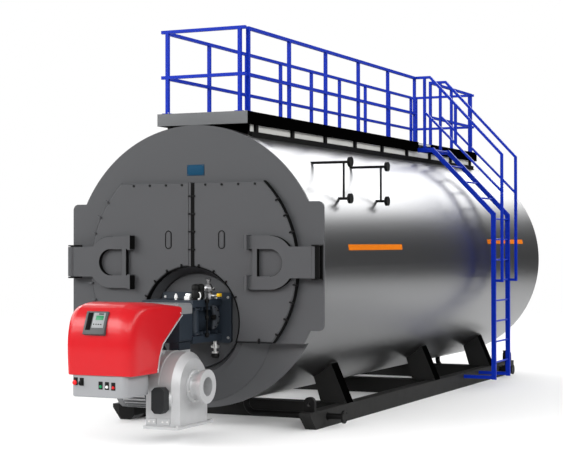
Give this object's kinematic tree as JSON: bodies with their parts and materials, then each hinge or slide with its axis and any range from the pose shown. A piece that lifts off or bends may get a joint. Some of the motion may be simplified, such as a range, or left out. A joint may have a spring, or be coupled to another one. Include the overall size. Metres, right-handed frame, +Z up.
{
  "type": "industrial boiler",
  "caption": "Horizontal fire-tube industrial boiler: clad cylinder on a skid, hinged smokebox doors, forced-draught burner, top walkway with rails and a side ladder.",
  "frame": {"origin": "on the floor under the middle cross member, on the boiler's centre plane", "axes": "+Z up, +Y along the shell towards the rear, the burner end at -Y, the ladder at +X"},
  "size_m": [3.715, 11.5448, 4.85],
  "materials": {
    "cladding": "bright rolled cladding sheet",
    "front_grey": "dark grey satin paint",
    "burner_steel": "blue-grey satin paint",
    "light_grey": "light grey satin paint",
    "burner_red": "glossy red enamel",
    "cast_silver": "cast aluminium",
    "black_paint": "black satin paint",
    "rail_blue": "royal blue gloss paint"
  },
  "bodies": {
    "boiler": {"shell": "cladding", "tube_plate": "front_grey", "rear_plate": "front_grey", "rear_access_door": "front_grey", "flue_outlet": "front_grey", "smokebox_plate": "front_grey", "smokebox_casing": "cladding", "hinge_brackets": "black_paint", "furnace_mouth": "front_grey", "burner_apron": "front_grey", "burner_plate": "front_grey", "burner_flange": "burner_steel", "burner_body": "burner_steel", "burner_collar": "light_grey", "burner_cover": "burner_red", "control_box": "light_grey", "fan_housing": "cast_silver", "inlet_ring": "cast_silver", "motor_adaptor": "burner_steel", "fan_motor": "cast_silver", "motor_terminal_box": "black_paint", "damper_actuator": "black_paint", "gas_fittings": "black_paint", "skid_beam_right": "black_paint", "skid_beam_left": "black_paint", "cross_members": "black_paint", "saddle_legs": "black_paint", "lifting_lugs": "black_paint", "platform_frame": "black_paint", "platform_deck": "light_grey", "platform_supports": "black_paint", "top_nozzles": "black_paint", "rail_right_front": "rail_blue", "rail_right_rear": "rail_blue", "rail_left": "rail_blue", "rail_front": "rail_blue", "rail_rear": "rail_blue", "ladder_stringer_near": "rail_blue", "ladder_stringer_far": "rail_blue", "ladder_rungs": "rail_blue", "ladder_brackets": "rail_blue", "ladder_handrails": "rail_blue", "level_columns": "black_paint", "drain_front": "black_paint", "drain_rear": "black_paint", "drain_handwheel": "black_paint"},
    "left_door": {"left_door": "front_grey", "left_hinge_arm": "front_grey"},
    "right_door": {"right_door": "front_grey", "right_hinge_arm": "front_grey"}
  },
  "joints": [
    {"name": "left_door_hinge", "type": "hinge", "parent": "boiler", "child": "left_door", "pos_m": [-1.655, -5.012, 2.0075], "axis": [0, 0, -1], "range_deg": [0, 105]},
    {"name": "right_door_hinge", "type": "hinge", "parent": "boiler", "child": "right_door", "pos_m": [1.655, -5.012, 2.0075], "axis": [0, 0, 1], "range_deg": [0, 105]}
  ]
}
